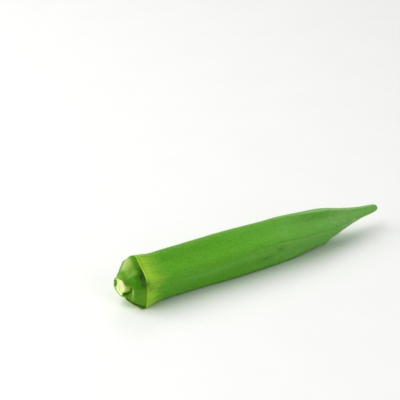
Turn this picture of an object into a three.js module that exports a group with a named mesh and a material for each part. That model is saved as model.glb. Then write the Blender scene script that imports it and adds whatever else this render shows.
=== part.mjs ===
// A fresh okra pod, cut from the plant and lying on one of its five faces.
// Millimetres, +Z up. X runs along the pod from the cut stem to the tip. The origin is
// on the surface that the pod lies on, under the middle of the pod's box.
// The pod grew as one piece: stem stub, cap, scar, five-ridged body and beak are one solid.

import * as THREE from 'three';

// Outline of the ridges, as [place along the pod, distance from its axis]. Place 0 is the
// scar, the ring where the flower was. The outline runs from the middle of the cut, which
// lies below its rim of skin, along the short stub, over the cap and the scar and down the
// body to the blunt tip.
const RIDGE_OUTLINE = [
  [-6.4, 0], [-6.4, 1.5], [-6.5, 2.5], [-6.85, 2.88], [-7, 3.05], [-6.85, 3.25],
  [-6.2, 3.55], [-5.6, 3.95], [-5.1, 4.5], [-4.6, 5.2], [-4, 6.1], [-3.2, 7.2],
  [-2.3, 8.2], [-1.4, 9.05], [-0.6, 9.65], [-0.1, 9.85], [0.35, 10], [1, 9.8],
  [2.8, 9.55], [6.6, 8.95], [19, 8.9], [37.5, 9.2], [52, 9], [64, 8.65],
  [74.3, 7.46], [83, 6.3], [91, 4.05], [98.6, 2.36], [104.4, 1.7], [106.6, 1.15],
  [107.3, 0],
];
const POD_LENGTH = 107.3;
const STEPS_PER_POINT = 3;

// How hollow the five faces are, as [place along the pod, depth]: 0 is a round section,
// 1 a pentagon with flat faces, and more draws the faces in between the ridges.
const FACE_HOLLOW = [
  [-6.6, 0.1], [-5.4, 0.4], [-4.2, 1], [-2.5, 1.4], [-0.7, 1.6], [0.3, 1.4], [4, 1.35],
  [13, 1.5], [30, 1.6], [56, 1.25], [85, 1.1], [99, 0.8], [107, 0.3],
];

// How sharp the ridges are, as [place along the pod, sharpness]; a higher number is sharper.
const CORNER_SHARPNESS = [[-7, 7], [0, 8], [12, 6], [30, 6], [70, 11], [107, 11]];

// The fine raised line along each ridge: [place along the pod, height], and its half width.
const RIDGE_LINE = [
  [-6, 0], [0, 0.02], [12, 0.05], [30, 0.08], [48, 0.14], [72, 0.22], [90, 0.18], [107, 0],
];
const RIDGE_LINE_WIDTH = 0.11;

// Swellings and pits of the cap, as [distance from the axis, angle round the pod, how far
// back towards the stem, how far out, half width, half angle]. They end at the scar's edge.
const CAP_RELIEF = [
  [9, 2.07, -0.7, -1.2, 0.8, 0.26], [9.5, 2.55, -0.3, -0.7, 0.5, 0.3],
  [9.4, 0.6, 0, 0.4, 1, 0.2], [8.8, 5, -0.3, -0.4, 0.9, 0.4], [8.6, 0, -0.2, -0.3, 0.9, 0.3],
  [8.6, 3.45, 0.3, 0.9, 1.6, 0.5], [8.2, 1.26, 0.2, 0.3, 1.4, 0.4],
  [4.6, 0.5, 0.8, 0.8, 1.7, 0.35], [7.2, 0.55, 0.3, 0.3, 1.2, 0.3],
  [5, 1.55, -1.2, -0.2, 1.1, 0.42], [3.9, 1.6, -1.9, -0.4, 0.4, 0.35],
  [5.3, 1.5, 0.4, -0.1, 0.4, 0.4],
];
const SCAR_EDGE = 0.5;

// The scar stands back towards the stem at one angle, as [angle, distance, half angle], and
// over this length of the pod.
const SCAR_SWAY = [1.8, 0.8, 0.35];
const SCAR_SWAY_LENGTH = 3.5;

// The cap stands out further on the side at this angle, leans back, and its stub is turned.
const CAP_BULGE = 0.04;
const CAP_BULGE_ANGLE = 1.3;
const CAP_LEAN = 0.1;
const STUB_TURN = 0.12;

// The axis: its height at the scar, its fall to the belly, and its rise and bend to the tip.
const AXIS_HEIGHT = 7.98;
const AXIS_FALL = 0.3;
const AXIS_FALL_LENGTH = 38;
const TIP_RISE = 0.8;
const TIP_BEND = 0.27;
const STUB_RISE = 0.01;
const STUB_SWAY = 0.6;

// The section is turned a little, and the beak twists. The ridges aren't even: those above
// the lower face are turned up round the pod, as [place along the pod, angle].
const ROLL = 0.015;
const TWIST = -0.4;
const RIDGE_TURN = [
  [-7, 0.07], [0, 0.06], [4, 0.02], [10, -0.08], [17, -0.12], [25, -0.11], [34, -0.05],
  [44, 0.03], [54, 0.07], [107, 0.07],
];

// The scar's place in the part's own frame.
const SCAR_X = -50;
const AXIS_Y = 0.3;

const FACES = 5;
const FACE_ANGLE = (2 * Math.PI) / FACES;
const STEPS_PER_FACE = 12;
const RIDGE_CROWDING = 0.09;

const { clamp, euclideanModulo, smoothstep } = THREE.MathUtils;

function readOff(points, place) {
  const next = points.findIndex(([x]) => x >= place);
  if (next === 0) return points[0][1];
  if (next < 0) return points[points.length - 1][1];
  const [x0, y0] = points[next - 1];
  const [x1, y1] = points[next];
  return y0 + ((y1 - y0) * (place - x0)) / (x1 - x0);
}

// The angle from the nearest face's middle, between plus and minus half a face.
function angleInFace(angle) {
  return euclideanModulo(angle + FACE_ANGLE / 2, FACE_ANGLE) - FACE_ANGLE / 2;
}

// How far a rounded pentagon lies inside the circle through its corners, as a share of it.
function pentagonInset(angle, sharpness) {
  const reach = (a) => Math.max(Math.cos(a), 0) ** sharpness;
  const inFace = angleInFace(angle);
  const sum = reach(inFace - FACE_ANGLE) + reach(inFace) + reach(inFace + FACE_ANGLE);
  const corner = 2 * reach(FACE_ANGLE / 2);
  return 1 - (sum / corner) ** (-1 / sharpness);
}

// 1 at the middle, fading over the width on either side.
function bell(value, middle, width) {
  return Math.exp(-(((value - middle) / width) ** 2));
}

// 1 at an angle round the pod, fading over the width on either side.
function around(angle, middle, width) {
  const off = euclideanModulo(angle - middle + Math.PI, 2 * Math.PI) - Math.PI;
  return bell(off, 0, width);
}

// How far the cap's swellings and pits stand back and out.
function capRelief(ridge, angle) {
  let [back, out] = [0, 0];
  for (const [distance, middle, backwards, outwards, width, halfAngle] of CAP_RELIEF) {
    const share = bell(ridge, distance, width) * around(angle, middle, halfAngle);
    back += backwards * share;
    out += outwards * share;
  }
  return [back, out];
}

// A point of the skin, from its place along the pod, its ridge's distance from the axis and
// its angle round the pod. Angle 0 is the middle of the lowest face and grows towards -Y.
function skinPoint(place, ridge, angle) {
  const offRidge = FACE_ANGLE / 2 - Math.abs(angleInFace(angle));
  const line = bell(offRidge, 0, RIDGE_LINE_WIDTH) * Math.min(ridge / 3, 1);
  const nearScar = bell(place, 0, place < 0 ? 4 : 9);
  const bulge = 1 + CAP_BULGE * nearScar * Math.cos(angle - CAP_BULGE_ANGLE);
  const inset = pentagonInset(angle, readOff(CORNER_SHARPNESS, place));
  const [back, out] = capRelief(ridge, angle);
  const onCap = smoothstep(-place, 0, SCAR_EDGE);
  const radius =
    ridge * (1 - readOff(FACE_HOLLOW, place) * inset) * bulge +
    readOff(RIDGE_LINE, place) * line +
    out * onCap;

  const share = clamp(place / POD_LENGTH, 0, 1);
  const uneven = readOff(RIDGE_TURN, place) * Math.sin(angle);
  const turned = angle + uneven + ROLL + TWIST * smoothstep(share, 0.35, 1);
  const side = -radius * Math.sin(turned);
  const up = -radius * Math.cos(turned);

  const stub = smoothstep(-place, 3.9, 6);
  const cap = smoothstep(-place, 0, 3) * (1 - smoothstep(-place, 4.2, 5.6));
  const neck = STUB_TURN * stub - CAP_LEAN * cap;
  const behind = Math.min(place, 0);
  const [swayAngle, swayDistance, swayWidth] = SCAR_SWAY;
  const swayed = swayDistance * around(angle, swayAngle, swayWidth) * bell(place, 0, SCAR_SWAY_LENGTH);
  const fall = AXIS_FALL * clamp(place / AXIS_FALL_LENGTH, -1, 2);
  const height = AXIS_HEIGHT - fall + TIP_RISE * smoothstep(share, 0.45, 1.1) - STUB_RISE * behind;

  return new THREE.Vector3(
    SCAR_X + place - back * onCap - swayed - side * Math.sin(neck),
    AXIS_Y + TIP_BEND * share ** 2 + STUB_SWAY * behind * Math.sin(neck) + side * Math.cos(neck),
    Math.max(height + up, 0),
  );
}

// Angles round the pod, closer together at the ridges, with one exactly on each ridge.
function ringAngles() {
  const angles = [];
  for (let step = 0; step < FACES * STEPS_PER_FACE; step += 1) {
    const share = step / STEPS_PER_FACE;
    angles.push(FACE_ANGLE * (share + RIDGE_CROWDING * Math.sin(2 * Math.PI * share)));
  }
  return angles;
}

function podGeometry() {
  const outline = new THREE.SplineCurve(RIDGE_OUTLINE.map(([x, y]) => new THREE.Vector2(x, y)));
  const rows = outline.getPoints((RIDGE_OUTLINE.length - 1) * STEPS_PER_POINT);
  const angles = ringAngles();
  const ringSize = angles.length;

  const cut = rows[0];
  const tip = rows[rows.length - 1];
  const rings = rows.slice(1, -1);
  const points = [skinPoint(cut.x, 0, 0)];
  for (const { x, y } of rings) {
    for (const angle of angles) points.push(skinPoint(x, y, angle));
  }
  points.push(skinPoint(tip.x, 0, 0));

  const faces = [];
  const at = (ring, step) => 1 + ring * ringSize + (step % ringSize);
  const last = points.length - 1;
  for (let step = 0; step < ringSize; step += 1) {
    faces.push(0, at(0, step), at(0, step + 1));
    faces.push(last, at(rings.length - 1, step + 1), at(rings.length - 1, step));
  }
  for (let ring = 0; ring < rings.length - 1; ring += 1) {
    for (let step = 0; step < ringSize; step += 1) {
      const [a, b] = [at(ring, step), at(ring, step + 1)];
      const [c, d] = [at(ring + 1, step), at(ring + 1, step + 1)];
      faces.push(a, c, b, b, c, d);
    }
  }

  const geometry = new THREE.BufferGeometry().setFromPoints(points);
  geometry.setIndex(faces);
  geometry.computeVertexNormals();
  return geometry;
}

const podSkin = new THREE.MeshStandardMaterial({ color: 0x5f9f2a, roughness: 0.5, metalness: 0 });

const pod = new THREE.Mesh(podGeometry(), podSkin);
pod.name = 'okra_pod';

const group = new THREE.Group();
group.add(pod);

export default group;
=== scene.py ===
import math

import bpy
from mathutils import Matrix, Vector


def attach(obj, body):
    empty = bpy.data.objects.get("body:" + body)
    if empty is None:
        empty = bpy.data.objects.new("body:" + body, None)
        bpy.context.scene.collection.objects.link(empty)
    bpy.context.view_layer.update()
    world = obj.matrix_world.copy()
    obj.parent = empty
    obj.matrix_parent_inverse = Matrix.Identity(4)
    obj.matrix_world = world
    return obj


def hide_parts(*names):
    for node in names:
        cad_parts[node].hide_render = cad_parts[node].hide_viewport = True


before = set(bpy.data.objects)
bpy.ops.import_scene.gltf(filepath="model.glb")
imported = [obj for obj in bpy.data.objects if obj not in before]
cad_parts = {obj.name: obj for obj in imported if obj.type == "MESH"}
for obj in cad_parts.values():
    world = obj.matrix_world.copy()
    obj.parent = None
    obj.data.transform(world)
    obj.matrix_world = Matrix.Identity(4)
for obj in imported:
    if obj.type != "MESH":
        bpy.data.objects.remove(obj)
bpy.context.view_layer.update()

MM = 0.001

# The outline of the ridges, as in the solid: place along the pod, distance from its axis. Place 0
# is the scar, and all are in mm.
RIDGE_OUTLINE = [
    (-6.4, 0), (-6.4, 1.5), (-6.5, 2.5), (-6.85, 2.88), (-7, 3.05), (-6.85, 3.25),
    (-6.2, 3.55), (-5.6, 3.95), (-5.1, 4.5), (-4.6, 5.2), (-4, 6.1), (-3.2, 7.2),
    (-2.3, 8.2), (-1.4, 9.05), (-0.6, 9.65), (-0.1, 9.85), (0.35, 10), (1, 9.8),
    (2.8, 9.55), (6.6, 8.95), (19, 8.9), (37.5, 9.2), (52, 9), (64, 8.65),
    (74.3, 7.46), (83, 6.3), (91, 4.05), (98.6, 2.36), (104.4, 1.7), (106.6, 1.15),
    (107.3, 0),
]
POD_LENGTH = 107.3

# Where the scar's middle is in the part's frame: X and Y.
SCAR = (-50, 0.3)

FACES = 5
FACE_ANGLE = 2 * math.pi / FACES

# How hollow the faces are: place, where 0 makes a round section and 1 a pentagon with flat faces.
FACE_HOLLOW = [
    (-6.6, 0.1), (-5.4, 0.4), (-4.2, 1), (-2.5, 1.4), (-0.7, 1.6), (0.3, 1.4), (4, 1.35),
    (13, 1.5), (30, 1.6), (56, 1.25), (85, 1.1), (99, 0.8), (107, 0.3),
]

# How sharp the ridges are: place, sharpness.
CORNER_SHARPNESS = [(-7, 7), (0, 8), (12, 6), (30, 6), (70, 11), (107, 11)]

# The fine raised line along each ridge: place, height.
RIDGE_LINE = [
    (-6, 0), (0, 0.02), (12, 0.05), (30, 0.08), (48, 0.14), (72, 0.22), (90, 0.18), (107, 0),
]

# How far the ridges above the lower face are turned up round the pod: place, radians.
RIDGE_TURN = [
    (-7, 0.07), (0, 0.06), (4, 0.02), (10, -0.08), (17, -0.12), (25, -0.11), (34, -0.05), (44, 0.03),
    (54, 0.07), (107, 0.07),
]

# A gap parts the pale flesh of the cut from the skin on one side, this far from the middle.
GAP_PLACE = -2.55

# The skin's patterns lie on a plain cylinder of this radius, so that they have no seam.
WRAP_RADIUS = 8.5

# Swellings and pits of the cap: distance from the axis, angle round the pod, how far they stand
# back towards the stem and out from the axis, half width and half angle.
CAP_RELIEF = [
    (9, 2.07, -0.7, -1.2, 0.8, 0.26), (9.5, 2.55, -0.3, -0.7, 0.5, 0.3),
    (9.4, 0.6, 0, 0.4, 1, 0.2), (8.8, 5, -0.3, -0.4, 0.9, 0.4), (8.6, 0, -0.2, -0.3, 0.9, 0.3),
    (8.6, 3.45, 0.3, 0.9, 1.6, 0.5), (8.2, 1.26, 0.2, 0.3, 1.4, 0.4),
    (4.6, 0.5, 0.8, 0.8, 1.7, 0.35), (7.2, 0.55, 0.3, 0.3, 1.2, 0.3),
    (5, 1.55, -1.2, -0.2, 1.1, 0.42), (3.9, 1.6, -1.9, -0.4, 0.4, 0.35),
    (5.3, 1.5, 0.4, -0.1, 0.4, 0.4),
]

# Folds of the cap's upper side: angle, height, half angle.
CAP_FOLDS = [(2.38, 0.3, 0.1), (2.68, -0.3, 0.12), (2.12, -0.25, 0.1)]

# Steps of the lower ridge before the beak: height, angle, half angle, place, half width.
RIDGE_STEPS = [
    (0.35, 0.5, 0.35, 80.0, 3.0), (-0.4, 0.5, 0.4, 86.0, 2.4), (0.25, 0.95, 0.35, 80.5, 1.3),
    (-0.35, 0.95, 0.35, 83.3, 1.2), (0.4, 0.95, 0.35, 86.4, 1.5),
]

# What the pod's node tree takes as inputs: counts, mm and radians.
POD_SIZES = {
    "Steps Per Point": 12,
    "Steps Round": 270,
    "Ridge Crowding": 0.09,
    "Pod Length": POD_LENGTH,
    "Ridge Line Width": 0.11,
    "Scar Edge": 0.5,
    "Cap Bulge": 0.04,
    "Cap Bulge Angle": 1.3,
    "Cap Lean": 0.1,
    "Stub Turn": 0.12,
    "Axis Height": 7.98,
    "Axis Fall": 0.3,
    "Axis Fall Length": 38.0,
    "Tip Rise": 0.8,
    "Tip Bend": 0.27,
    "Stub Rise": 0.01,
    "Stub Sway": 0.6,
    "Roll": 0.015,
    "Scar Sway": 0.8,
    "Twist": -0.4,
    "Seed Spacing": 5.6,
    "Seed Swell": 0.05,
    "Rib Depth": 0.05,
    "Scar Height": 0.06,
    "Crack Depth": 0.9,
    "Cap Fold Depth": 0.2,
    "Fibre Depth": 0.09,
    "Wave Height": 0.16,
    "Side Vein Height": 0.04,
    "Hem Height": 0.25,
    "Hem Groove Depth": 0.5,
    "Groove Behind Scar": 0.12,
    "Torn Flesh Height": 0.5,
    "Cut Slant": 0.12,
    "Gap Depth": 0.2,
    "Rim Height": 0.7,
}
MERGE_DISTANCE = 0.001 * MM

# What the down's node tree takes as inputs: counts, metres, and shares of the hair's direction.
HAIR_SIZES = {
    "Hairs Per Square Metre": 7.0e6,
    "Hair Length": 0.36 * MM,
    "Hair Root Radius": 0.022 * MM,
    "Hair Sunk Depth": 0.05 * MM,
    "Hair Lean": 0.75,
    "Least Height": 0.6 * MM,
    "Shortest Hair": 0.45,
    "Longest Hair": 1.25,
    "Seed": 7,
}
HAIR_UNEVENNESS = 0.35

# How high the bumps of each finish are.
SKIN_BUMP = 0.04 * MM
HAIR_BUMP = 0.01 * MM
PAPER_BUMP = 0.02 * MM

# The camera: its angles in degrees, the point in the picture's middle, its distance, the angle
# that it takes in and its sensor's width in mm.
VIEW_AZIMUTH = -32.0
VIEW_ELEVATION = 26.2
VIEW_MIDDLE = Vector((-22.9, 1.57, 31.64)) * MM
VIEW_DISTANCE = 442 * MM
VIEW_WIDTH = 18.0
SENSOR_WIDTH = 36.0

# The lights: name, azimuth and elevation in degrees, distance and size in metres, power, colour.
LIGHTS = [
    ("key light", -115.0, 50.0, 0.8, 1.0, 6.1, (1.0, 0.985, 0.96)),
    ("fill light", 10.0, 30.0, 0.9, 0.5, 1.0, (0.97, 0.985, 1.0)),
    ("back light", 150.0, 40.0, 0.9, 0.4, 1.0, (1.0, 1.0, 1.0)),
]
SKY_COLOUR = (0.93, 0.95, 0.96, 1.0)
SKY_STRENGTH = 0.38

# How far the floor reaches from the middle, in metres.
FLOOR_REACH = 6.0


class Value:
    """A socket that works in Python sums. Each sum adds the Math nodes it needs."""

    def __init__(self, bench, socket):
        self.bench = bench
        self.socket = socket

    def __add__(self, other):
        return self.bench.maths("ADD", self, other)

    def __radd__(self, other):
        return self.bench.maths("ADD", other, self)

    def __sub__(self, other):
        return self.bench.maths("SUBTRACT", self, other)

    def __rsub__(self, other):
        return self.bench.maths("SUBTRACT", other, self)

    def __mul__(self, other):
        return self.bench.maths("MULTIPLY", self, other)

    def __rmul__(self, other):
        return self.bench.maths("MULTIPLY", other, self)

    def __truediv__(self, other):
        return self.bench.maths("DIVIDE", self, other)

    def __pow__(self, other):
        return self.bench.maths("POWER", self, other)

    def __mod__(self, other):
        return self.bench.maths("FLOORED_MODULO", self, other)

    def __neg__(self):
        return self.bench.maths("MULTIPLY", self, -1.0)

    def __abs__(self):
        return self.bench.maths("ABSOLUTE", self)


class Bench:
    """A node tree being built, for a form or for a material."""

    def __init__(self, tree):
        self.tree = tree

    def node(self, kind, settings=None, sockets=None):
        """Adds a node: its settings first, then the values or links of its sockets."""
        made = self.tree.nodes.new(kind)
        for name, setting in (settings or {}).items():
            setattr(made, name, setting)
        for key, value in (sockets or {}).items():
            if isinstance(value, Value):
                self.tree.links.new(value.socket, made.inputs[key])
            else:
                made.inputs[key].default_value = value
        return made

    def value(self, kind, settings=None, sockets=None, output=0):
        return Value(self, self.node(kind, settings, sockets).outputs[output])

    def maths(self, operation, *terms):
        return self.value("ShaderNodeMath", {"operation": operation}, dict(enumerate(terms)))

    def vector(self, x, y, z):
        return self.value("ShaderNodeCombineXYZ", {}, {0: x, 1: y, 2: z})

    def axis(self, vector, index):
        return self.value("ShaderNodeSeparateXYZ", {}, {0: vector}, index)

    def stretch(self, vector, factors):
        return self.value("ShaderNodeVectorMath", {"operation": "MULTIPLY"}, {0: vector, 1: factors})

    def smooth(self, low, high, value):
        """Rises from 0 at low to 1 at high."""
        sockets = {"Value": value, "From Min": low, "From Max": high}
        return self.value("ShaderNodeMapRange", {"interpolation_type": "SMOOTHSTEP"}, sockets)

    def bell(self, value, middle, width):
        """1 at the middle, fading over the width on either side."""
        return self.maths("EXPONENT", -(((value - middle) / width) ** 2))

    def noise(self, vector, scale, detail=2.0, roughness=0.5):
        """Noise about 0, from about -0.5 to 0.5."""
        sockets = {"Vector": vector, "Scale": scale, "Detail": detail, "Roughness": roughness}
        return self.value("ShaderNodeTexNoise", {}, sockets) - 0.5

    def even(self, low, high, value):
        """Rises evenly from 0 at low to 1 at high."""
        return self.value("ShaderNodeMapRange", {}, {"Value": value, "From Min": low, "From Max": high})

    def read_off(self, points, value):
        """A line through points, read at a value."""
        (first, _), (last, _) = points[0], points[-1]
        made = self.node("ShaderNodeFloatCurve")
        curve = made.mapping.curves[0]
        while len(curve.points) < len(points):
            curve.points.new(0.5, 0.5)
        low = min(height for _, height in points)
        span = max(height for _, height in points) - low
        for point, (place, height) in zip(curve.points, points):
            point.location = ((place - first) / (last - first), (height - low) / span)
            point.handle_type = "VECTOR"
        made.mapping.update()
        share = self.even(first, last, value)
        self.tree.links.new(share.socket, made.inputs["Value"])
        return Value(self, made.outputs[0]) * span + low


def new_form(name, sizes):
    """A geometry node tree with a named input for each size, and its first geometry."""
    tree = bpy.data.node_groups.new(name, "GeometryNodeTree")
    tree.is_modifier = True
    tree.interface.new_socket("Geometry", in_out="INPUT", socket_type="NodeSocketGeometry")
    tree.interface.new_socket("Geometry", in_out="OUTPUT", socket_type="NodeSocketGeometry")
    for label, size in sizes.items():
        kind = "NodeSocketInt" if isinstance(size, int) else "NodeSocketFloat"
        tree.interface.new_socket(label, in_out="INPUT", socket_type=kind)
    bench = Bench(tree)
    entry = bench.node("NodeGroupInput")
    return bench, {socket.name: Value(bench, socket) for socket in entry.outputs if socket.name}


def store(bench, geometry, name, value, kind="FLOAT"):
    sockets = {"Geometry": geometry, "Name": name, "Value": value}
    settings = {"data_type": kind, "domain": "POINT"}
    return bench.value("GeometryNodeStoreNamedAttribute", settings, sockets)


def close_form(bench, geometry, material):
    """Ends a tree: smooth faces, real geometry and one material."""
    geometry = bench.value("GeometryNodeSetShadeSmooth", {}, {0: geometry})
    geometry = bench.value("GeometryNodeRealizeInstances", {}, {0: geometry})
    geometry = bench.value("GeometryNodeSetMaterial", {}, {"Geometry": geometry, "Material": material})
    bench.node("NodeGroupOutput", {}, {0: geometry})


def grown(name, start, bench, sizes):
    """Runs a tree on a start mesh and keeps the result as a plain mesh object."""
    seedling = bpy.data.objects.new(name + "_start", start)
    bpy.context.scene.collection.objects.link(seedling)
    modifier = seedling.modifiers.new("form", "NODES")
    modifier.node_group = bench.tree
    for item in bench.tree.interface.items_tree:
        if item.in_out == "INPUT" and item.name in sizes:
            modifier[item.identifier] = sizes[item.name]
    graph = bpy.context.evaluated_depsgraph_get()
    mesh = bpy.data.meshes.new_from_object(seedling.evaluated_get(graph), depsgraph=graph)
    mesh.name = name
    bpy.data.objects.remove(seedling)
    piece = bpy.data.objects.new(name, mesh)
    bpy.context.scene.collection.objects.link(piece)
    return piece


def angle_in_face(angle):
    """The angle from the nearest face's middle."""
    return (angle + FACE_ANGLE / 2) % FACE_ANGLE - FACE_ANGLE / 2


def pentagon_inset(bench, in_face, sharpness):
    """How far a rounded pentagon lies inside the circle through its corners, as a share of it."""
    def reach(angle):
        return bench.maths("MAXIMUM", bench.maths("COSINE", angle), 0.0) ** sharpness

    corner = 2.0 * bench.maths("POWER", math.cos(FACE_ANGLE / 2), sharpness)
    total = reach(in_face - FACE_ANGLE) + reach(in_face) + reach(in_face + FACE_ANGLE)
    return 1.0 - (total / corner) ** bench.maths("DIVIDE", -1.0, sharpness)


def around(bench, angle, middle, width):
    """1 at an angle round the pod, fading over the width on either side."""
    off = (angle - middle + math.pi) % (2 * math.pi) - math.pi
    return bench.bell(off, 0.0, width)


def dents(bench, places, angle):
    """The sum of dents or swellings at an angle round the pod: middle, depth, half angle."""
    total = 0.0
    for middle, depth, width in places:
        total = total + depth * around(bench, angle, middle, width)
    return total


def cap_relief(bench, ridge, angle):
    """How far the cap's swellings and pits stand back and out."""
    back, out = 0.0, 0.0
    for distance, middle, backwards, outwards, width, half_angle in CAP_RELIEF:
        share = bench.bell(ridge, distance, width) * around(bench, angle, middle, half_angle)
        back = back + backwards * share
        out = out + outwards * share
    return back, out


def hem_angle(station):
    """Where the groove of the lower hem runs over the cap."""
    return 0.66 + 0.013 * (station - 8.0)


def crack_angle(station):
    """Where the crack beside the stub runs."""
    return 0.86 + 0.03 * (station - 5.0) ** 2


def skin_relief(bench, size, place, angle, in_face, wrap, station):
    """The fine form of the skin, on top of the solid's form, in mm outwards."""
    body = bench.smooth(1.0, 8.0, place)
    cap = bench.smooth(10.0, 11.5, station) * (1.0 - bench.smooth(-0.6, 0.0, place))
    cap_flank = bench.smooth(10.4, 11.4, station) * (1.0 - bench.smooth(12.8, 14.0, station))
    stub = bench.smooth(4.2, 5.0, station) * (1.0 - bench.smooth(6.5, 7.5, station))
    middle = bench.bell(in_face, 0.0, 0.26)

    waves = size["Wave Height"] * bench.noise(bench.stretch(wrap, (0.1, 0.3, 0.3)), 1.0)
    ribs = size["Rib Depth"] * bench.noise(bench.stretch(wrap, (0.12, 1.9, 1.9)), 1.0, 3.0)
    side_veins = size["Side Vein Height"] * bench.bell(abs(in_face), 0.36, 0.05)
    beads = bench.maths("COSINE", place * (2 * math.pi) / size["Seed Spacing"] + angle * 2.0)
    seeds = size["Seed Swell"] * beads * middle * bench.smooth(8.0, 16.0, place)
    seeds = seeds * (1.0 - bench.smooth(72.0, 88.0, place))

    folds = size["Cap Fold Depth"] * bench.noise(bench.stretch(wrap, (0.25, 0.55, 0.55)), 1.0, 3.0)
    upper_folds = dents(bench, CAP_FOLDS, angle)
    hem = size["Hem Height"] * bench.bell(angle, 0.52, 0.09)
    hem = hem - size["Hem Groove Depth"] * bench.bell(angle, hem_angle(station), 0.05)
    hem = hem * bench.smooth(6.6, 8.0, station) * (1.0 - bench.smooth(14.2, 15.0, station))
    crack = bench.bell(angle, crack_angle(station), 0.13)
    crack = crack * bench.smooth(4.2, 4.8, station) * (1.0 - bench.smooth(8.8, 9.6, station))

    ragged = 1.0 + 1.2 * bench.noise(bench.stretch(wrap, (0.5, 1.1, 1.1)), 1.0, 3.0)
    scar = size["Scar Height"] * ragged * bench.bell(place, 0.35, 0.24)
    behind_scar = size["Groove Behind Scar"] * bench.bell(place, -0.35, 0.22)
    steps = 0.0
    for step, middle_angle, half_angle, middle_place, width in RIDGE_STEPS:
        share = around(bench, angle, middle_angle, half_angle) * bench.bell(place, middle_place, width)
        steps = steps + step * share

    fibres = size["Fibre Depth"] * bench.noise(bench.stretch(wrap, (0.3, 1.2, 1.2)), 1.0, 2.0)
    return (
        (waves + ribs + side_veins) * body
        + seeds
        + folds * cap
        + upper_folds * cap_flank
        + hem
        - size["Crack Depth"] * crack
        + scar
        - behind_scar
        + steps
        + fibres * stub
    )


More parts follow.
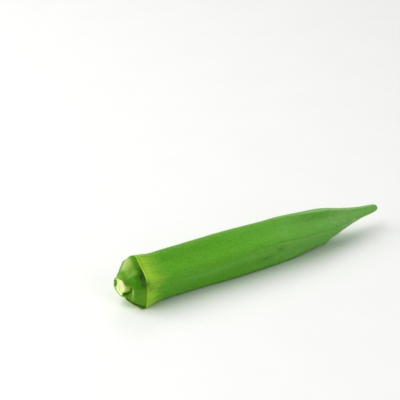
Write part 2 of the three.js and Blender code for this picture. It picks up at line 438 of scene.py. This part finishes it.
def pod_form(material):
    """The skin as rings round the outline: main form, then fine form, then its attributes."""
    bench, size = new_form("okra pod form", POD_SIZES)

    outline = bench.value("GeometryNodeMeshToCurve", {}, {"Mesh": size["Geometry"]})
    outline = bench.value("GeometryNodeCurveSplineType", {"spline_type": "CATMULL_ROM"}, {"Curve": outline})
    outline = bench.value(
        "GeometryNodeSetSplineResolution", {}, {0: outline, "Resolution": size["Steps Per Point"]}
    )
    outline = bench.value("GeometryNodeCurveToMesh", {}, {"Curve": outline})
    rows = bench.value("GeometryNodeAttributeDomainSize", {}, {0: outline})

    columns = size["Steps Round"] + 1.0
    grid = bench.value("GeometryNodeMeshGrid", {}, {"Vertices X": rows, "Vertices Y": columns})
    index = bench.value("GeometryNodeInputIndex")
    row = bench.maths("FLOOR", (index + 0.5) / columns)
    column = index - row * columns
    here = bench.value("GeometryNodeInputPosition")
    on_outline = bench.value(
        "GeometryNodeSampleIndex",
        {"data_type": "FLOAT_VECTOR", "domain": "POINT"},
        {"Geometry": outline, "Value": here, "Index": row},
    )
    place = bench.axis(on_outline, 0)
    ridge = bench.maths("MAXIMUM", bench.axis(on_outline, 1), 0.0)
    station = row / size["Steps Per Point"]

    turn = column / size["Steps Round"] * FACES
    crowding = size["Ridge Crowding"] * bench.maths("SINE", turn * (2 * math.pi))
    angle = (turn + crowding) * FACE_ANGLE
    in_face = angle_in_face(angle)
    off_ridge = FACE_ANGLE / 2 - abs(in_face)
    wrap = bench.vector(
        place,
        bench.maths("COSINE", angle) * WRAP_RADIUS,
        bench.maths("SINE", angle) * WRAP_RADIUS,
    )

    line = bench.bell(off_ridge, 0.0, size["Ridge Line Width"])
    line = line * bench.maths("MINIMUM", ridge * (1 / 3), 1.0)
    ahead = bench.maths("MAXIMUM", place, 0.0) * (1 / 9)
    behind = bench.maths("MINIMUM", place, 0.0)
    near_scar = bench.bell(ahead, 0.0, 1.0) * bench.bell(behind, 0.0, 4.0)
    bulge = 1.0 + size["Cap Bulge"] * near_scar * bench.maths("COSINE", angle - size["Cap Bulge Angle"])
    sharpness = bench.read_off(CORNER_SHARPNESS, place)
    hollow = bench.read_off(FACE_HOLLOW, place) * pentagon_inset(bench, in_face, sharpness)
    relief = skin_relief(bench, size, place, angle, in_face, wrap, station)
    thick = bench.smooth(0.0, 2.5, ridge)
    radius = ridge * (1.0 - hollow) * bulge + bench.read_off(RIDGE_LINE, place) * line
    back, out = cap_relief(bench, ridge, angle)
    on_cap = bench.smooth(0.0, size["Scar Edge"], -place)
    radius = radius + out * on_cap + relief * thick

    share = bench.maths("MAXIMUM", place, 0.0) / size["Pod Length"]
    turned = angle + bench.read_off(RIDGE_TURN, place) * bench.maths("SINE", angle) + size["Roll"]
    turned = turned + size["Twist"] * bench.smooth(0.35, 1.0, share)
    side = -(radius * bench.maths("SINE", turned))
    up = -(radius * bench.maths("COSINE", turned))

    stub = bench.smooth(3.9, 6.0, -behind)
    cap = bench.smooth(0.0, 3.0, -behind) * (1.0 - bench.smooth(4.2, 5.6, -behind))
    neck = size["Stub Turn"] * stub - size["Cap Lean"] * cap
    sway = bench.maths("SINE", neck)
    fall = bench.maths("MINIMUM", place / size["Axis Fall Length"], 2.0)
    fall = size["Axis Fall"] * bench.maths("MAXIMUM", fall, -1.0)
    height = size["Axis Height"] - fall + size["Tip Rise"] * bench.smooth(0.45, 1.1, share)
    height = height - size["Stub Rise"] * behind

    flesh = 1.0 - bench.smooth(2.2, 2.9, station)
    sideways = ridge * bench.maths("SINE", angle)
    across = bench.vector(0.0, ridge * bench.maths("COSINE", angle), sideways)
    torn = bench.noise(bench.stretch(across, (0.0, 0.4, 2.2)), 1.0, 4.0, 0.6)
    left_edge = size["Gap Depth"] * bench.bell(sideways, GAP_PLACE, 0.14)
    ends = (size["Torn Flesh Height"] * torn + size["Cut Slant"] * sideways - left_edge) * flesh
    rim = bench.noise(bench.stretch(wrap, (0.0, 0.3, 0.3)), 1.0, 2.0) * bench.bell(station, 4.0, 0.8)
    ends = ends + size["Rim Height"] * rim
    swayed = size["Scar Sway"] * around(bench, angle, 1.8, 0.35) * bench.bell(place, 0.0, 3.5)
    x = place - back * on_cap - swayed - side * sway - ends + SCAR[0]
    y = size["Tip Bend"] * share ** 2 + size["Stub Sway"] * behind * sway
    y = y + side * bench.maths("COSINE", neck) + SCAR[1]
    z = bench.maths("MAXIMUM", height + up, 0.0)

    geometry = bench.value(
        "GeometryNodeSetPosition", {}, {"Geometry": grid, "Position": bench.vector(x * MM, y * MM, z * MM)}
    )
    for name, value in (("place", place), ("station", station), ("off_ridge", off_ridge)):
        geometry = store(bench, geometry, name, value)
    for name, value in (("across_cut", across), ("wrap", wrap)):
        geometry = store(bench, geometry, name, value, "FLOAT_VECTOR")
    geometry = bench.value(
        "GeometryNodeMergeByDistance", {}, {"Geometry": geometry, "Distance": MERGE_DISTANCE}
    )
    close_form(bench, geometry, material)
    return bench


def outline_mesh():
    """The ridges' outline, as a row of points in mm."""
    mesh = bpy.data.meshes.new("ridge outline")
    points = [(place, distance, 0) for place, distance in RIDGE_OUTLINE]
    mesh.from_pydata(points, [(i, i + 1) for i in range(len(points) - 1)], [])
    return mesh


def stored(bench, name):
    """An attribute that the skin's mesh carries."""
    return bench.value("GeometryNodeInputNamedAttribute", {"data_type": "FLOAT"}, {"Name": name})


def hair_form(material):
    """Short stiff hairs that lean towards the tip, denser along the ridges."""
    bench, size = new_form("pod hairs", HAIR_SIZES)
    place, station, off_ridge = (stored(bench, name) for name in ("place", "station", "off_ridge"))
    height = bench.axis(bench.value("GeometryNodeInputPosition"), 2)

    off_cut = bench.smooth(3.0, 3.6, station)
    off_floor = bench.smooth(size["Least Height"], size["Least Height"] * 3.0, height)
    on_ridge = 0.7 + 1.1 * bench.bell(off_ridge, 0.0, 0.12)
    off_cap = 0.12 + 0.88 * bench.smooth(-0.5, 3.0, place)
    density = size["Hairs Per Square Metre"] * off_cut * off_floor * off_cap * on_ridge
    scatter = bench.node(
        "GeometryNodeDistributePointsOnFaces",
        {"distribute_method": "RANDOM"},
        {"Mesh": size["Geometry"], "Density": density, "Seed": size["Seed"]},
    )
    points = Value(bench, scatter.outputs["Points"])
    normal = Value(bench, scatter.outputs["Normal"])

    cone = bench.node(
        "GeometryNodeMeshCone",
        {"fill_type": "NGON"},
        {
            "Vertices": 3,
            "Side Segments": 1,
            "Radius Top": 0.0,
            "Radius Bottom": size["Hair Root Radius"],
            "Depth": size["Hair Length"],
        },
    )
    hair = Value(bench, cone.outputs["Mesh"])
    along_hair = bench.axis(bench.value("GeometryNodeInputPosition"), 2) / size["Hair Length"]
    hair = store(bench, hair, "along_hair", along_hair)
    sunk = bench.vector(0.0, 0.0, -size["Hair Sunk Depth"])
    hair = bench.value("GeometryNodeSetPosition", {}, {"Geometry": hair, "Offset": sunk})

    jitter = bench.node(
        "FunctionNodeRandomValue",
        {"data_type": "FLOAT_VECTOR"},
        {"Min": (-HAIR_UNEVENNESS,) * 3, "Max": (HAIR_UNEVENNESS,) * 3, "Seed": size["Seed"]},
    )
    leaning = bench.value(
        "ShaderNodeVectorMath", {"operation": "ADD"}, {0: normal, 1: Value(bench, jitter.outputs[0])}
    )
    towards_tip = bench.vector(size["Hair Lean"], 0.0, 0.0)
    leaning = bench.value("ShaderNodeVectorMath", {"operation": "ADD"}, {0: leaning, 1: towards_tip})
    turn = bench.value("FunctionNodeAlignRotationToVector", {"axis": "Z"}, {"Vector": leaning})
    length = bench.node(
        "FunctionNodeRandomValue",
        {"data_type": "FLOAT"},
        {"Min": size["Shortest Hair"], "Max": size["Longest Hair"], "Seed": size["Seed"]},
    )
    length = Value(bench, next(socket for socket in length.outputs if socket.enabled))
    hairs = bench.value(
        "GeometryNodeInstanceOnPoints",
        {},
        {"Points": points, "Instance": hair, "Rotation": turn, "Scale": bench.vector(1.0, 1.0, length)},
    )
    close_form(bench, hairs, material)
    return bench


def shade(red, green, blue):
    """A colour named by its screen values, as the light values that a shader takes."""
    def light(level):
        share = level / 255
        return share / 12.92 if share <= 0.04045 else ((share + 0.055) / 1.055) ** 2.4

    return (light(red), light(green), light(blue), 1.0)


# The skin's colours.
BODY_GREEN = shade(98, 177, 36)
TIP_GREEN = shade(126, 196, 92)
# Paler bluish green for the painted sheen band beside the ridges.
SHEEN_BAND_GREEN = shade(102, 180, 66)
BLOOM_PALE = shade(146, 196, 112)
SHOULDER_GREEN = shade(168, 216, 56)
STREAK_PALE = shade(120, 178, 62)
# Deep green for the skin's darker streaks, also used as painted shade on the lower face, the top edge, the
# ridges' shadow line and the lowest ridges.
DEEP_STREAK_AND_SHADE = shade(56, 124, 14)
CAP_GREEN = shade(76, 146, 4)
# Pale yellow green for the cap's paler mottling and lip, and for the painted highlight on its lobes.
CAP_PALE_AND_SHEEN = shade(198, 216, 116)
CAP_DEEP = shade(52, 124, 0)
CAP_DARK = shade(26, 62, 4)
# Cream for the hem, brighter than its own colour as painted light.
HEM_CREAM_PAINTED_LIGHT = shade(226, 238, 164)
SCAR_OLIVE = shade(126, 150, 24)
SCAR_BROWN = shade(84, 96, 26)
# Olive green for the painted shade wedge just past the scar's front corner.
SCAR_WEDGE_SHADE = shade(110, 156, 14)
STUB_GREEN = shade(178, 216, 62)
RIM_GREEN = shade(116, 188, 24)
STUB_OLIVE = shade(150, 176, 50)
# Pale yellow green for the painted highlight lines on the ridges.
RIDGE_HIGHLIGHT_PALE = shade(150, 190, 96)
SPECK_ORANGE = shade(190, 140, 40)
SCRATCH_PALE = shade(206, 206, 150)
STAIN_DARK = shade(52, 96, 40)
FLESH_PALE = shade(244, 250, 184)
FLESH_GREEN = shade(196, 222, 116)
FLESH_VEIN = shade(160, 194, 70)

# Where the colours lie round the pod: angle, strength, half angle.
COLOUR_PLACES = {
    "lower face": [(1.5, 1.0, 0.6)],
    "front ridge": [(1.9, 1.0, 0.25)],
    "wedge_shade": [(1.64, 1.0, 0.17)],
    "shaded top edge": [(2.95, 1.0, 0.3)],
    "pale tip": [(2.5, 0.8, 0.75), (1.3, 0.7, 0.3)],
    "murk": [(1.4, 1.0, 0.3)],
    "ridge highlight lines": [(1.87, 1.0, 0.03), (4.4, 1.0, 0.04), (5.65, 1.0, 0.04)],
    "ridge shadow": [(1.95, 1.0, 0.03)],
    "shaded lowest ridges": [(0.58, 0.75, 0.16), (5.7, 0.75, 0.16)],
    "cap lobe sheen": [(3.3, 1.0, 0.5), (2.42, 0.35, 0.1)],
    "cap front": [(1.9, 1.0, 0.42)],
    "hem": [(0.5, 1.0, 0.12)],
    "hem crease": [(0.5, 1.0, 0.02)],
    "cap pits": [(2.02, 1.3, 0.27), (5.03, 0.6, 0.3), (6.28, 0.4, 0.3)],
    "upper pit": [(2.5, 0.5, 0.25)],
    "cap underside": [(1.1, 1.0, 0.55)],
    "upper scar": [(2.7, 1.0, 0.5)],
    "scar corner": [(1.85, 1.0, 0.14)],
    "stub lip": [(1.4, 1.0, 0.45)],
    "torn side": [(1.5, 1.0, 0.4)],
    "stub top": [(3.4, 1.0, 0.5)],
    "tip fleck": [(1.75, 1.0, 0.25)],
    "stain": [(1.62, 1.0, 0.16)],
    "second stain": [(1.25, 0.7, 0.2)],
}

# The down's colours, and the floor's.
HAIR_ROOT = shade(140, 182, 84)
HAIR_TIP = shade(208, 222, 168)
HAIR_DRY = shade(186, 186, 120)
PAPER_GREY = shade(249, 249, 248)
PAPER_WHITE = shade(252, 252, 251)


def mix(bench, share, first, second):
    """The first colour with this share of the second."""
    sockets = {0: share, 6: first, 7: second}
    return bench.value("ShaderNodeMix", {"data_type": "RGBA"}, sockets, 2)


def attribute(bench, name, output="Fac"):
    """An attribute of the mesh, read by a finish."""
    return bench.value("ShaderNodeAttribute", {"attribute_name": name}, {}, output)


def round_pod(bench, name, angle):
    """How strongly one of the named colour places shows at an angle round the pod."""
    return dents(bench, COLOUR_PLACES[name], angle)


def new_material(name):
    material = bpy.data.materials.new(name)
    material.use_nodes = True
    material.node_tree.nodes.clear()
    return material, Bench(material.node_tree)


def finish_material(bench, colour, roughness, height, relief, constants=None):
    """Ends a material: colour, roughness, and the relief as a bump of this height."""
    normal = bench.value("ShaderNodeBump", {}, {"Strength": 1.0, "Distance": height, "Height": relief})
    sockets = {"Base Color": colour, "Roughness": roughness, "Normal": normal}
    sockets.update(constants or {})
    shader = bench.value("ShaderNodeBsdfPrincipled", {}, sockets)
    bench.node("ShaderNodeOutputMaterial", {}, {"Surface": shader})


def pod_skin():
    """The skin from body to cut, with a fine grain over all, fainter on the cap."""
    material, bench = new_material("fresh pod skin")
    place = attribute(bench, "place")
    station = attribute(bench, "station")
    wrap = attribute(bench, "wrap", "Vector")
    across = attribute(bench, "across_cut", "Vector")
    angle = bench.maths("ARCTAN2", bench.axis(wrap, 2), bench.axis(wrap, 1))

    streaks = bench.noise(bench.stretch(wrap, (0.06, 1.6, 1.6)), 1.0, 4.0, 0.6)
    mottle = bench.noise(bench.stretch(wrap, (0.5, 0.9, 0.9)), 1.0, 4.0, 0.6)
    fine = bench.noise(wrap, 5.0, 3.0)
    grain = bench.noise(wrap, 1.1, 4.0, 0.8)

    colour = body_colour(bench, place, angle, streaks, mottle, wrap)
    cap = cap_colour(bench, place, station, angle, mottle)
    on_cap = 1.0 - bench.smooth(-0.3, 0.1, place)
    colour = mix(bench, on_cap, colour, cap)
    colour = scar_colour(bench, colour, place, angle, mottle)
    colour = stub_colour(bench, colour, station, angle, wrap, across, mottle)
    colour = blemishes(bench, colour, place, wrap, angle)
    grainy = 0.06 + 0.36 * bench.smooth(0.0, 6.0, place)
    colour = mix(bench, bench.smooth(0.0, 0.16, grain) * grainy, colour, STREAK_PALE)
    colour = mix(bench, bench.smooth(0.0, 0.16, -grain) * grainy, colour, DEEP_STREAK_AND_SHADE)

    roughness = 0.46 + fine * 0.1 + mottle * 0.12
    relief = fine * 0.5 + bench.noise(wrap, 16.0, 2.0) * 0.5
    constants = {
        "Subsurface Weight": 0.06,
        "Subsurface Scale": 0.001,
        "IOR": 1.4,
        "Specular IOR Level": 0.14,
    }
    finish_material(bench, colour, roughness, SKIN_BUMP, relief, constants)
    return material


def body_colour(bench, place, angle, streaks, mottle, wrap):
    """Green, yellower at the shoulder, paler and bluer to the tip, with streaks and soft patches, a painted
    sheen band and painted highlight lines along the ridges, and painted shade on the lower face, the top
    edge, the lowest ridges and beside the scar's front corner.
    """
    clouds = bench.noise(bench.stretch(wrap, (0.08, 0.2, 0.2)), 1.0, 3.0)
    patches = bench.noise(bench.stretch(wrap, (0.14, 0.4, 0.4)), 1.0, 3.0, 0.6)
    colour = mix(bench, bench.smooth(30.0, 100.0, place), BODY_GREEN, TIP_GREEN)
    # Painted sheen: a paler bluish-green band along one side of each ridge, where the rounded ridge
    # reflects the sky.
    sheen_band = bench.bell(angle_in_face(angle), 0.38, 0.17) * bench.smooth(8.0, 22.0, place)
    lowest = round_pod(bench, "lower face", angle)
    sheen_band = sheen_band * bench.maths("MAXIMUM", lowest, bench.smooth(20.0, 45.0, place) * 0.7)
    # Painted shade: the lower face is darkened, standing in for the light falling off below.
    colour = mix(bench, lowest * 0.3, colour, DEEP_STREAK_AND_SHADE)
    colour = mix(bench, sheen_band * 0.55, colour, SHEEN_BAND_GREEN)
    front = round_pod(bench, "front ridge", angle)
    reach = front * 2.0 - lowest * 2.5 - streaks * 9.0 - clouds * 6.0
    near_scar = 1.0 - bench.smooth(0.5, 9.5, place - reach)
    colour = mix(bench, near_scar * 0.9, colour, SHOULDER_GREEN)
    # Painted shade: an olive wedge just past the scar's front corner, below the front ridge.
    wedge_shade = round_pod(bench, "wedge_shade", angle) * bench.bell(place, 1.4, 2.0)
    colour = mix(bench, wedge_shade * 0.8, colour, SCAR_WEDGE_SHADE)
    pale = bench.smooth(0.0, 0.4, streaks * 0.7 + mottle * 0.4 + patches * 0.6)
    colour = mix(bench, pale * 0.75, colour, STREAK_PALE)
    deep = bench.smooth(0.02, 0.4, -streaks * 0.8 - patches * 0.5)
    colour = mix(bench, deep * 0.42, colour, DEEP_STREAK_AND_SHADE)
    # Painted shade: the top edge is darkened near the shoulder and again towards the tip.
    top = round_pod(bench, "shaded top edge", angle) * bench.smooth(2.0, 9.0, place)
    top = top * (0.28 * (1.0 - bench.smooth(24.0, 40.0, place)) + 0.4 * bench.bell(place, 76.0, 10.0))
    colour = mix(bench, top, colour, DEEP_STREAK_AND_SHADE)
    bloom = bench.smooth(-0.05, 0.3, clouds + mottle * 0.5) * bench.smooth(35.0, 66.0, place)
    pale_tip = round_pod(bench, "pale tip", angle) * bench.bell(place, 89.5, 6.0)
    bloom = bloom * 0.25 + pale_tip * bench.smooth(-0.2, 0.2, mottle)
    colour = mix(bench, bench.maths("MINIMUM", bloom, 1.0), colour, BLOOM_PALE)
    murk = round_pod(bench, "murk", angle) * bench.bell(place, 62.0, 5.0)
    colour = mix(bench, bench.smooth(0.0, 0.2, mottle) * murk * 0.5, colour, DEEP_STREAK_AND_SHADE)
    # Painted highlight: thin pale lines along three ridges, where they catch the light, with a painted
    # shadow line beside the front one.
    line = round_pod(bench, "ridge highlight lines", angle)
    line = line * bench.smooth(36.0, 60.0, place) * (1.0 - bench.smooth(70.0, 84.0, place))
    colour = mix(bench, line * 0.35, colour, RIDGE_HIGHLIGHT_PALE)
    shadow = round_pod(bench, "ridge shadow", angle) * bench.smooth(36.0, 60.0, place)
    colour = mix(bench, shadow * 0.3, colour, DEEP_STREAK_AND_SHADE)
    # Painted shade: the two lowest ridges are darkened along the pod, standing in for the contact shadow
    # under it.
    bottom_shade = round_pod(bench, "shaded lowest ridges", angle) * bench.smooth(2.0, 8.0, place)
    return mix(bench, bottom_shade, colour, DEEP_STREAK_AND_SHADE)


def cap_colour(bench, place, station, angle, mottle):
    """Green with a painted highlight on the lobes, darker in the pits with painted shade in them and in the
    hem's crease, a cream hem painted lighter, and yellower towards the scar.
    """
    colour = mix(bench, bench.smooth(-0.1, 0.5, mottle) * 0.3, CAP_GREEN, CAP_PALE_AND_SHEEN)
    # Painted highlight: the cap's upper lobe and a fold beside it are lightened where light and sheen fall
    # on them.
    lobe = round_pod(bench, "cap lobe sheen", angle)
    lobe = lobe * bench.smooth(8.0, 10.0, station) * (1.0 - bench.smooth(11.8, 13.2, station))
    colour = mix(bench, lobe * 0.62, colour, CAP_PALE_AND_SHEEN)
    front = round_pod(bench, "cap front", angle)
    colour = mix(bench, front * 0.85, colour, CAP_DEEP)
    # A pale cream hem, painted brighter than its own colour as painted light, since it faces down into
    # shade.
    hem = round_pod(bench, "hem", angle) * (1.0 - bench.smooth(12.4, 13.4, station))
    colour = mix(bench, bench.maths("MINIMUM", hem * 1.3, 1.0), colour, HEM_CREAM_PAINTED_LIGHT)
    # Painted shade: a dark line along the hem's crease.
    crease = round_pod(bench, "hem crease", angle) * (1.0 - bench.smooth(11.6, 12.6, station))
    colour = mix(bench, crease * 0.7, colour, CAP_DEEP)
    # The pits and the hem's groove are darker green, and painted shade darkens them further.
    pit = round_pod(bench, "cap pits", angle)
    pit = pit * bench.smooth(-2.0, -0.9, place)
    pit = pit + round_pod(bench, "upper pit", angle) * bench.smooth(-1.4, -0.7, place)
    pit = pit + bench.bell(angle, hem_angle(station), 0.05) * bench.smooth(6.6, 8.0, station)
    colour = mix(bench, bench.maths("MINIMUM", pit * 1.4, 0.95), colour, CAP_DARK)
    low = round_pod(bench, "cap underside", angle) * bench.smooth(-2.6, 0.0, place)
    return mix(bench, low * 0.45, colour, SCAR_OLIVE)


def scar_colour(bench, colour, place, angle, mottle):
    """Olive along the scar, browner in places, and deep green at its front corner."""
    upper = round_pod(bench, "upper scar", angle)
    colour = mix(bench, bench.bell(place, 0.4, 0.35) * (0.15 + 0.4 * upper), colour, SCAR_OLIVE)
    corner = round_pod(bench, "scar corner", angle) * bench.bell(place, 0.1, 0.9)
    brown = bench.bell(place, 0.1, 0.16) * bench.smooth(0.0, 0.25, mottle)
    colour = mix(bench, brown * 0.7, colour, SCAR_BROWN)
    return mix(bench, corner * 0.75, colour, CAP_DEEP)


def stub_colour(bench, colour, station, angle, wrap, across, mottle):
    """The lip, the crack with painted shade, the stub's skin, its rim, the pale cut flesh and the gap
    beside it with painted shade.
    """
    lip_station = 10.5 - 2.0 * bench.smooth(1.5, 2.0, angle)
    lip = bench.bell(station, lip_station, 0.3) * round_pod(bench, "stub lip", angle)
    colour = mix(bench, lip * 0.6, colour, CAP_PALE_AND_SHEEN)
    strands = bench.noise(bench.stretch(wrap, (0.2, 1.2, 1.2)), 1.0, 3.0)
    skin = mix(bench, bench.smooth(-0.1, 0.3, strands) * 0.5, STUB_GREEN, FLESH_GREEN)
    skin = mix(bench, bench.smooth(0.0, 0.3, -strands) * 0.7, skin, FLESH_VEIN)
    torn_side = round_pod(bench, "torn side", angle)
    side = torn_side * (1.0 - bench.smooth(6.5, 9.5, station + mottle * 2.0))
    colour = mix(bench, side, colour, skin)
    top = round_pod(bench, "stub top", angle) * (1.0 - bench.smooth(5.6, 8.0, station))
    colour = mix(bench, top * 0.6, colour, STUB_OLIVE)
    # Painted shade: the crack beside the stub is darkened.
    crack = bench.bell(angle, crack_angle(station), 0.16)
    crack = crack * bench.smooth(4.2, 4.8, station) * (1.0 - bench.smooth(9.0, 9.8, station))
    colour = mix(bench, crack * 0.95, colour, CAP_DARK)
    rim = mix(bench, bench.smooth(0.0, 0.3, strands) * 0.5, RIM_GREEN, FLESH_VEIN)
    colour = mix(bench, (1.0 - bench.smooth(4.4, 5.4, station)) * (1.0 - crack), colour, rim)

    sideways = bench.axis(across, 2)
    torn = bench.noise(bench.stretch(across, (0.0, 0.4, 2.2)), 1.0, 4.0, 0.6)
    pores = bench.noise(across, 3.0, 3.0)
    flesh = mix(bench, bench.smooth(-0.02, 0.16, torn + pores * 0.3), FLESH_PALE, FLESH_GREEN)
    flesh = mix(bench, bench.smooth(0.0, 0.3, -torn) * bench.smooth(0.0, 2.0, sideways), flesh, FLESH_VEIN)
    gap = bench.bell(sideways + pores * 0.3, GAP_PLACE, 0.12) * (1.0 - bench.smooth(2.4, 3.4, station))
    off_gap = bench.smooth(GAP_PLACE - 0.1, GAP_PLACE + 0.2, sideways + pores * 0.3)
    spread = bench.smooth(0.9, 1.5, angle) * (1.0 - bench.smooth(2.6, 3.1, angle))
    edge = 2.75 + 2.5 * spread + mottle * 1.2 + strands * 2.0 * spread
    within = 1.0 - bench.smooth(-0.2, 0.4, station - edge)
    colour = mix(bench, within * off_gap, colour, flesh)
    # Painted shade: the gap between the flesh and the skin is darkened.
    colour = mix(bench, gap * 0.7, colour, CAP_DEEP)
    return mix(bench, gap * 0.3, colour, CAP_DARK)


def blemishes(bench, colour, place, wrap, angle):
    """Small orange specks all over, pale healed scratches near the tip and stains below."""
    cells = bench.node("ShaderNodeTexVoronoi", {"feature": "F1"}, {"Vector": wrap, "Scale": 0.22})
    dot = 1.0 - bench.smooth(0.03, 0.07, Value(bench, cells.outputs["Distance"]))
    colour = mix(bench, dot * 0.6, colour, SPECK_ORANGE)
    wandering = bench.noise(bench.stretch(wrap, (0.36, 0.14, 0.14)), 1.0, 1.0)
    broken = bench.noise(bench.stretch(wrap, (0.3, 0.3, 0.3)), 1.0, 2.0)
    near_tip = bench.bell(place, 89.0, 7.0) * bench.smooth(-0.05, 0.15, broken)
    scratch = bench.bell(wandering, 0.03, 0.012) + bench.bell(wandering, -0.06, 0.01)
    scratch = scratch * near_tip
    speck = bench.bell(place, 93.2, 0.6) * round_pod(bench, "tip fleck", angle)
    marks = bench.maths("MINIMUM", scratch * 0.7 + speck * 0.9, 1.0)
    colour = mix(bench, marks, colour, SCRATCH_PALE)
    ragged = bench.noise(bench.stretch(wrap, (0.6, 0.6, 0.6)), 1.0, 4.0, 0.7)
    stain = bench.bell(place, 56.2, 1.6) * round_pod(bench, "stain", angle)
    stain = stain + bench.bell(place, 49.8, 3.0) * round_pod(bench, "second stain", angle)
    return mix(bench, stain * bench.smooth(-0.25, 0.15, ragged) * 0.75, colour, STAIN_DARK)


def hair_skin():
    """The down: paler towards the tip of each hair, and drier in patches."""
    material, bench = new_material("pale pod hair")
    along = attribute(bench, "along_hair")
    coordinates = bench.value("ShaderNodeTexCoord", {}, {}, "Object")
    patchy = bench.noise(coordinates, 900.0)
    colour = mix(bench, bench.smooth(0.0, 1.0, along), HAIR_ROOT, HAIR_TIP)
    colour = mix(bench, bench.smooth(0.0, 0.4, patchy) * 0.4, colour, HAIR_DRY)
    finish_material(bench, colour, 0.55 + patchy * 0.2, HAIR_BUMP, patchy)
    return material


def floor_finish():
    """Matt white paper with a faint grain."""
    material, bench = new_material("pale studio paper")
    coordinates = bench.value("ShaderNodeTexCoord", {}, {}, "Object")
    grain = bench.noise(coordinates, 40.0, 3.0)
    colour = mix(bench, bench.smooth(-0.5, 0.5, grain), PAPER_GREY, PAPER_WHITE)
    finish_material(bench, colour, 0.85 + grain * 0.05, PAPER_BUMP, grain)
    return material


def lay_floor():
    mesh = bpy.data.meshes.new("floor")
    far = FLOOR_REACH
    corners = [(-far, -far, 0), (far, -far, 0), (far, far, 0), (-far, far, 0)]
    mesh.from_pydata(corners, [], [(0, 1, 2, 3)])
    mesh.materials.append(floor_finish())
    floor = bpy.data.objects.new("floor", mesh)
    bpy.context.scene.collection.objects.link(floor)


def direction(azimuth, elevation):
    """From the object towards a viewer at these angles; azimuth 0 looks along +Y."""
    a, e = math.radians(azimuth), math.radians(elevation)
    return Vector((math.sin(a) * math.cos(e), -math.cos(a) * math.cos(e), math.sin(e)))


def aim(item, azimuth, elevation, distance, middle):
    """Puts a camera or light at these angles and this distance from a point, facing it."""
    back = direction(azimuth, elevation)
    item.location = middle + back * distance
    item.rotation_mode = "QUATERNION"
    item.rotation_quaternion = back.to_track_quat("Z", "Y")


def set_camera():
    camera = bpy.data.objects.new("camera", bpy.data.cameras.new("camera"))
    camera.data.sensor_width = SENSOR_WIDTH
    camera.data.lens = SENSOR_WIDTH / 2 / math.tan(math.radians(VIEW_WIDTH / 2))
    camera.data.clip_start = 0.01
    bpy.context.scene.collection.objects.link(camera)
    aim(camera, VIEW_AZIMUTH, VIEW_ELEVATION, VIEW_DISTANCE, VIEW_MIDDLE)
    bpy.context.scene.camera = camera


def add_light(name, azimuth, elevation, distance, size, power, colour):
    lamp = bpy.data.lights.new(name, "AREA")
    lamp.shape = "DISK"
    lamp.size = size
    lamp.energy = power
    lamp.color = colour
    light = bpy.data.objects.new(name, lamp)
    bpy.context.scene.collection.objects.link(light)
    aim(light, azimuth, elevation, distance, Vector((0, 0, 0)))


def set_lights():
    for light in LIGHTS:
        add_light(*light)
    world = bpy.data.worlds.new("studio")
    world.use_nodes = True
    background = world.node_tree.nodes["Background"]
    background.inputs["Color"].default_value = SKY_COLOUR
    background.inputs["Strength"].default_value = SKY_STRENGTH
    bpy.context.scene.world = world
    bpy.context.scene.view_settings.view_transform = "Standard"


set_camera()
set_lights()
lay_floor()

skin = pod_skin()
pod = grown("okra_pod_skin", outline_mesh(), pod_form(skin), POD_SIZES)
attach(pod, "root")
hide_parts("okra_pod")

hairs = grown("okra_pod_hairs", pod.data.copy(), hair_form(hair_skin()), HAIR_SIZES)
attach(hairs, "root")
